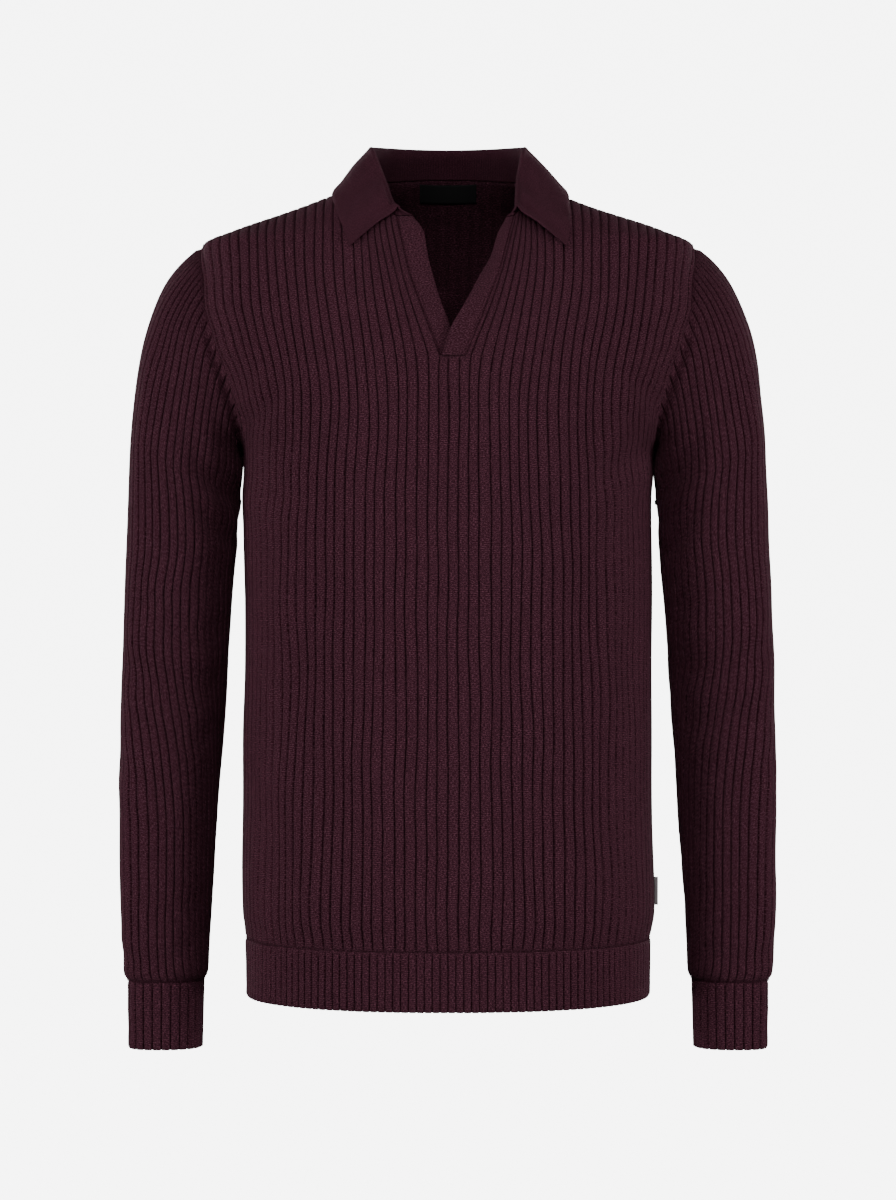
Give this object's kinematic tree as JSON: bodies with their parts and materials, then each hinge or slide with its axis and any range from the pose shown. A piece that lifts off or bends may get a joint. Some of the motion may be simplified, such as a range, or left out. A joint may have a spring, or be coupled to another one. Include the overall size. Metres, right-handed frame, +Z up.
{
  "type": "long-sleeved polo sweater, filled out, with no wearer",
  "caption": "Dark burgundy wide-rib knit polo sweater with a turned-down collar, open V neck and rib hem and cuffs, hollow as when worn.",
  "frame": {"origin": "middle of the neck base, level with the shoulder tops, where the wearer's shoulders hold the sweater", "axes": "+Z up, -Y out of the sweater's front, +X to the wearer's left"},
  "size_m": [0.5592, 0.2553, 0.7755],
  "materials": {
    "rib_knit": "matte wide rib knit",
    "fine_knit": "matte fine knit",
    "label_cloth": "smooth woven, bare",
    "tab_cloth": "woven, bare"
  },
  "bodies": {
    "root": {"front": "rib_knit", "back": "rib_knit", "sleeve_left": "rib_knit", "sleeve_right": "rib_knit", "cuff_left": "rib_knit", "cuff_right": "rib_knit", "hem_front": "rib_knit", "hem_back": "rib_knit", "collar": "fine_knit", "v_band_left": "fine_knit", "v_band_right": "fine_knit", "neck_label": "label_cloth", "side_tab": "tab_cloth"}
  },
  "joints": []
}
